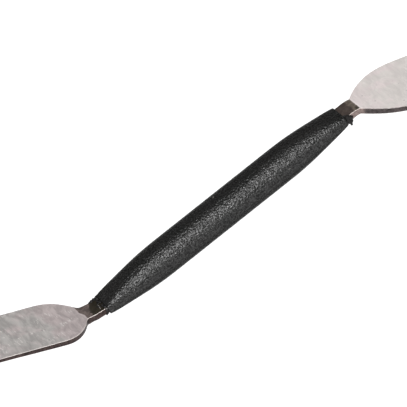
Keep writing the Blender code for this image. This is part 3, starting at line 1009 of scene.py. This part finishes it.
def hidden_steel():
    n = Nodes("rivet_steel_plain")
    place = n.position()
    grain = n.noise(place, RIVET_GRAIN_SIZE)
    colour = n.mix(grain, RIVET_GREY, RIVET_PALER_GREY)
    normal = n.bump(grain, RIVET_GRAIN_DEPTH)
    return n.shade(Base_Color=colour, Metallic=1.0, Roughness=0.4, Normal=normal)


def dress_hidden_nodes():
    plastic, steel = hidden_plastic(), hidden_steel()
    for name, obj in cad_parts.items():
        if name.startswith("handle_core"):
            obj.data.materials.clear()
            obj.data.materials.append(plastic)
        elif name.startswith("tang_rivet"):
            obj.data.materials.clear()
            obj.data.materials.append(steel)


# ---------------------------------------------------------------- stage


def make_floor():
    """A plain light table: it glows white, so nothing throws a shadow on it."""
    n = Nodes("studio_floor")
    cloud = n.noise(n.position(), 0.8)
    colour = n.mix(cloud, (0.20, 0.20, 0.20), (0.22, 0.22, 0.22))
    glow = n.mix(cloud, (1.0, 1.0, 1.0), (0.99, 0.99, 0.99))
    material = n.shade(
        Base_Color=colour,
        Roughness=0.9,
        Specular_IOR_Level=0.1,
        Emission_Color=glow,
        Emission_Strength=FLOOR_GLOW,
    )
    half = FLOOR_HALF_WIDTH
    corners = [(-half, -half, 0), (half, -half, 0), (half, half, 0), (-half, half, 0)]
    mesh = bpy.data.meshes.new("floor")
    mesh.from_pydata(corners, [], [(0, 1, 2, 3)])
    mesh.materials.append(material)
    floor = bpy.data.objects.new("floor", mesh)
    floor.location.z = -FLOOR_DEPTH
    bpy.context.scene.collection.objects.link(floor)


def make_world():
    """A studio cove: pale round the horizon, darker overhead."""
    world = bpy.data.worlds.new("studio")
    world.use_nodes = True
    tree = world.node_tree
    coordinates = tree.nodes.new("ShaderNodeTexCoord")
    split = tree.nodes.new("ShaderNodeSeparateXYZ")
    remap = tree.nodes.new("ShaderNodeMapRange")
    remap.interpolation_type = "SMOOTHSTEP"
    tree.links.new(coordinates.outputs["Generated"], split.inputs[0])
    tree.links.new(split.outputs["Z"], remap.inputs["Value"])
    for socket, number in zip(remap.inputs[1:5], COVE_HEIGHTS + COVE_BRIGHTNESS):
        socket.default_value = number
    background = tree.nodes["Background"]
    tree.links.new(remap.outputs["Result"], background.inputs["Strength"])
    background.inputs["Color"].default_value = (1.0, 0.99, 0.98, 1.0)
    bpy.context.scene.world = world


def view_axes():
    """The camera's right, up and backward directions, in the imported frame."""
    sin_a, cos_a = math.sin(VIEW_AZIMUTH), math.cos(VIEW_AZIMUTH)
    sin_e, cos_e = math.sin(VIEW_ELEVATION), math.cos(VIEW_ELEVATION)
    back = Vector((sin_a * cos_e, -cos_a * cos_e, sin_e))
    level_right = Vector((cos_a, sin_a, 0))
    level_up = back.cross(level_right)
    right = level_right * math.cos(VIEW_ROLL) + level_up * math.sin(VIEW_ROLL)
    up = back.cross(right)
    turn = HANDLE.to_3x3()
    return turn @ right, turn @ up, turn @ back


def make_camera():
    right, up, back = view_axes()
    target = HANDLE.translation + right * VIEW_RIGHT_OFFSET + up * VIEW_UP_OFFSET
    camera = bpy.data.cameras.new("camera")
    camera.lens = LENS
    camera.sensor_width = SENSOR
    distance = VIEW_WIDTH * LENS / SENSOR
    camera.clip_start = CLIP_NEAR
    camera.clip_end = CLIP_FAR
    obj = bpy.data.objects.new("camera", camera)
    turn = Matrix((right, up, back)).transposed().to_4x4()
    obj.matrix_world = Matrix.Translation(target + back * distance) @ turn
    bpy.context.scene.collection.objects.link(obj)
    bpy.context.scene.camera = obj


def make_sun(name, direction, strength, angle):
    light = bpy.data.lights.new(name, "SUN")
    light.energy = strength
    light.angle = angle
    obj = bpy.data.objects.new(name, light)
    obj.rotation_mode = "QUATERNION"
    obj.rotation_quaternion = Vector(direction).to_track_quat("Z", "Y")
    bpy.context.scene.collection.objects.link(obj)


def make_lights():
    _, up, back = view_axes()
    make_sun("key", back + KEY_LIFT * up, KEY_STRENGTH, KEY_ANGLE)
    bpy.context.scene.view_settings.view_transform = "Standard"


# ---------------------------------------------------------------- build

make_grip(grip_material())
square_steel = steel_material(
    "square_blade_ground_steel",
    SQUARE_FACE_PINKER,
    SQUARE_FACE_GREENER,
    SQUARE_FACE_CONTRAST,
    SQUARE_NECK,
    SQUARE_RIM,
)
leaf_steel = steel_material(
    "leaf_blade_ground_steel",
    LEAF_FACE_PINKER,
    LEAF_FACE_GREENER,
    LEAF_FACE_CONTRAST,
    LEAF_NECK,
    LEAF_RIM,
)
make_square_blade(square_steel)
make_leaf_blade(leaf_steel)
flash = flash_material("squeezed_out_black_plastic", FLASH_BLACK, FLASH_PALER_BLACK)
# The burrs' pale material is a painted glint on the mouth's rim and a flash ridge, not the plastic's own
# colour
burrs = flash_material("plastic_burr_painted_glint", BURR_GLINT_GREY, BURR_GLINT_PALER_GREY)
make_flash("grip_flash_square_end", -1, SQUARE_END_FLASH, flash)
make_flash("grip_flash_leaf_end", 1, LEAF_END_FLASH, flash)
make_flash("grip_glint_burrs_square_end", -1, SQUARE_END_GLINT_BURRS, burrs)
dress_hidden_nodes()
make_floor()
make_world()
make_lights()
make_camera()
